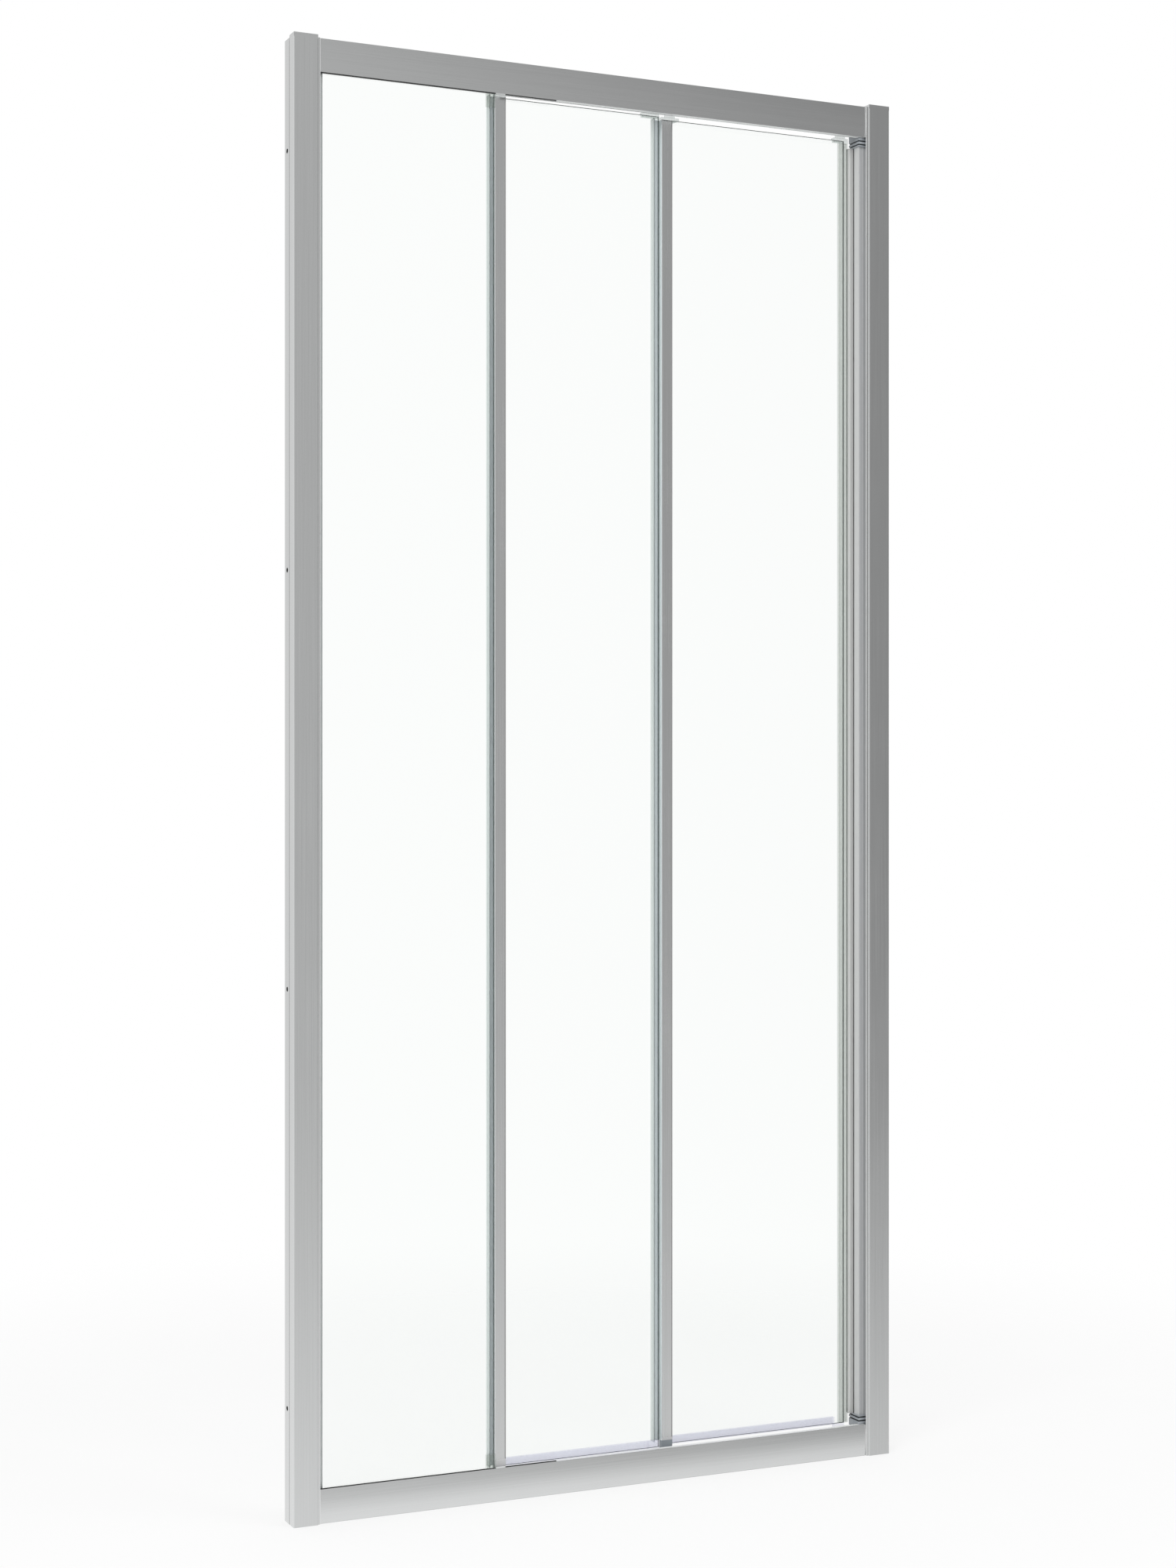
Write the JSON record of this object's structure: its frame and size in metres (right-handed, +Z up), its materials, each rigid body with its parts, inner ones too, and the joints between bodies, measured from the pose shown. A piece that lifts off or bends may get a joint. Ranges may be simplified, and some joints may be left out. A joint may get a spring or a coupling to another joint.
{
  "type": "sliding shower door",
  "caption": "Framed sliding shower door: a fixed glass pane and overlapping glass panels on top rollers, between satin metal uprights, a header rail and a sill rail.",
  "frame": {"origin": "middle of the frame's width and depth, on the plane under the sill", "axes": "+X from the left wall to the right wall, +Y from the front covers to the back, +Z up"},
  "size_m": [0.9, 0.038, 1.95],
  "materials": {
    "satin_aluminium": "satin anodised",
    "clear_glass": "polished, clear",
    "clear_seal": "soft clear plastic",
    "wiper_plastic": "translucent",
    "black_gasket": "matt",
    "pale_infill": "matt",
    "grey_plastic": "matt",
    "white_plastic": "smooth",
    "steel": "plain"
  },
  "bodies": {
    "frame": {"wall_channel_left": "satin_aluminium", "wall_channel_right": "satin_aluminium", "upright_left": "satin_aluminium", "upright_right": "satin_aluminium", "cover_left": "satin_aluminium", "cover_right": "satin_aluminium", "top_cap_left": "grey_plastic", "top_cap_right": "grey_plastic", "corner_screws_left": "steel", "corner_screws_right": "steel", "adjuster_screws_left": "steel", "adjuster_screws_right": "steel", "corner_block_top": "grey_plastic", "corner_block_bottom": "grey_plastic", "header_rail": "satin_aluminium", "sill_rail": "satin_aluminium", "track_stops": "black_gasket", "fixed_glass": "clear_glass", "fixed_side_gasket": "black_gasket", "glazing_wedge_top": "black_gasket", "glazing_wedge_bottom": "black_gasket", "track_buffer_top": "black_gasket", "track_buffer_bottom": "black_gasket", "glazing_backing_top": "black_gasket", "glazing_backing_bottom": "black_gasket", "setting_blocks": "black_gasket", "fixed_edge_clip_top": "clear_seal", "fixed_edge_clip_bottom": "clear_seal", "fixed_edge_seal": "clear_seal", "track_infill_top": "pale_infill", "track_infill_bottom": "pale_infill", "strike_strip": "clear_seal", "strike_bead": "black_gasket"},
    "middle_panel": {"middle_glass": "clear_glass", "middle_stile": "satin_aluminium", "middle_bottom_seal": "wiper_plastic", "middle_edge_seal": "clear_seal", "middle_carrier_left": "white_plastic", "middle_carrier_right": "white_plastic", "middle_axle_left": "steel", "middle_axle_right": "steel", "middle_guide_left": "grey_plastic", "middle_guide_right": "wiper_plastic"},
    "closing_panel": {"closing_glass": "clear_glass", "closing_stile": "satin_aluminium", "closing_bottom_seal": "wiper_plastic", "closing_edge_seal": "clear_seal", "closing_carrier_left": "white_plastic", "closing_carrier_right": "white_plastic", "closing_axle_left": "steel", "closing_axle_right": "steel", "closing_guide_left": "grey_plastic", "closing_guide_right": "wiper_plastic"},
    "middle_roller_left": {"middle_roller_left": "white_plastic"},
    "middle_roller_right": {"middle_roller_right": "white_plastic"},
    "closing_roller_left": {"closing_roller_left": "white_plastic"},
    "closing_roller_right": {"closing_roller_right": "white_plastic"}
  },
  "joints": [
    {"name": "middle_slide", "type": "slide", "parent": "frame", "child": "middle_panel", "axis": [1, 0, 0], "range_m": [-0.2355, 0]},
    {"name": "closing_slide", "type": "slide", "parent": "middle_panel", "child": "closing_panel", "axis": [1, 0, 0], "range_m": [-0.2528, 0]},
    {"name": "middle_roller_left_spin", "type": "hinge", "parent": "middle_panel", "child": "middle_roller_left", "pos_m": [-0.1526, 0.0035, 1.9193], "axis": [0, 1, 0], "continuous": true},
    {"name": "middle_roller_right_spin", "type": "hinge", "parent": "middle_panel", "child": "middle_roller_right", "pos_m": [0.07455, 0.0035, 1.9193], "axis": [0, 1, 0], "continuous": true},
    {"name": "closing_roller_left_spin", "type": "hinge", "parent": "closing_panel", "child": "closing_roller_left", "pos_m": [0.11075, 0.015, 1.9193], "axis": [0, 1, 0], "continuous": true},
    {"name": "closing_roller_right_spin", "type": "hinge", "parent": "closing_panel", "child": "closing_roller_right", "pos_m": [0.386, 0.015, 1.9193], "axis": [0, 1, 0], "continuous": true}
  ],
  "couplings": [
    {"joint": "middle_roller_left_spin", "follows": "middle_slide", "rad_per_m": 125},
    {"joint": "middle_roller_right_spin", "follows": "middle_slide", "rad_per_m": 125},
    {"joint": "closing_roller_left_spin", "follows": "closing_slide", "rad_per_m": 125},
    {"joint": "closing_roller_right_spin", "follows": "closing_slide", "rad_per_m": 125}
  ]
}
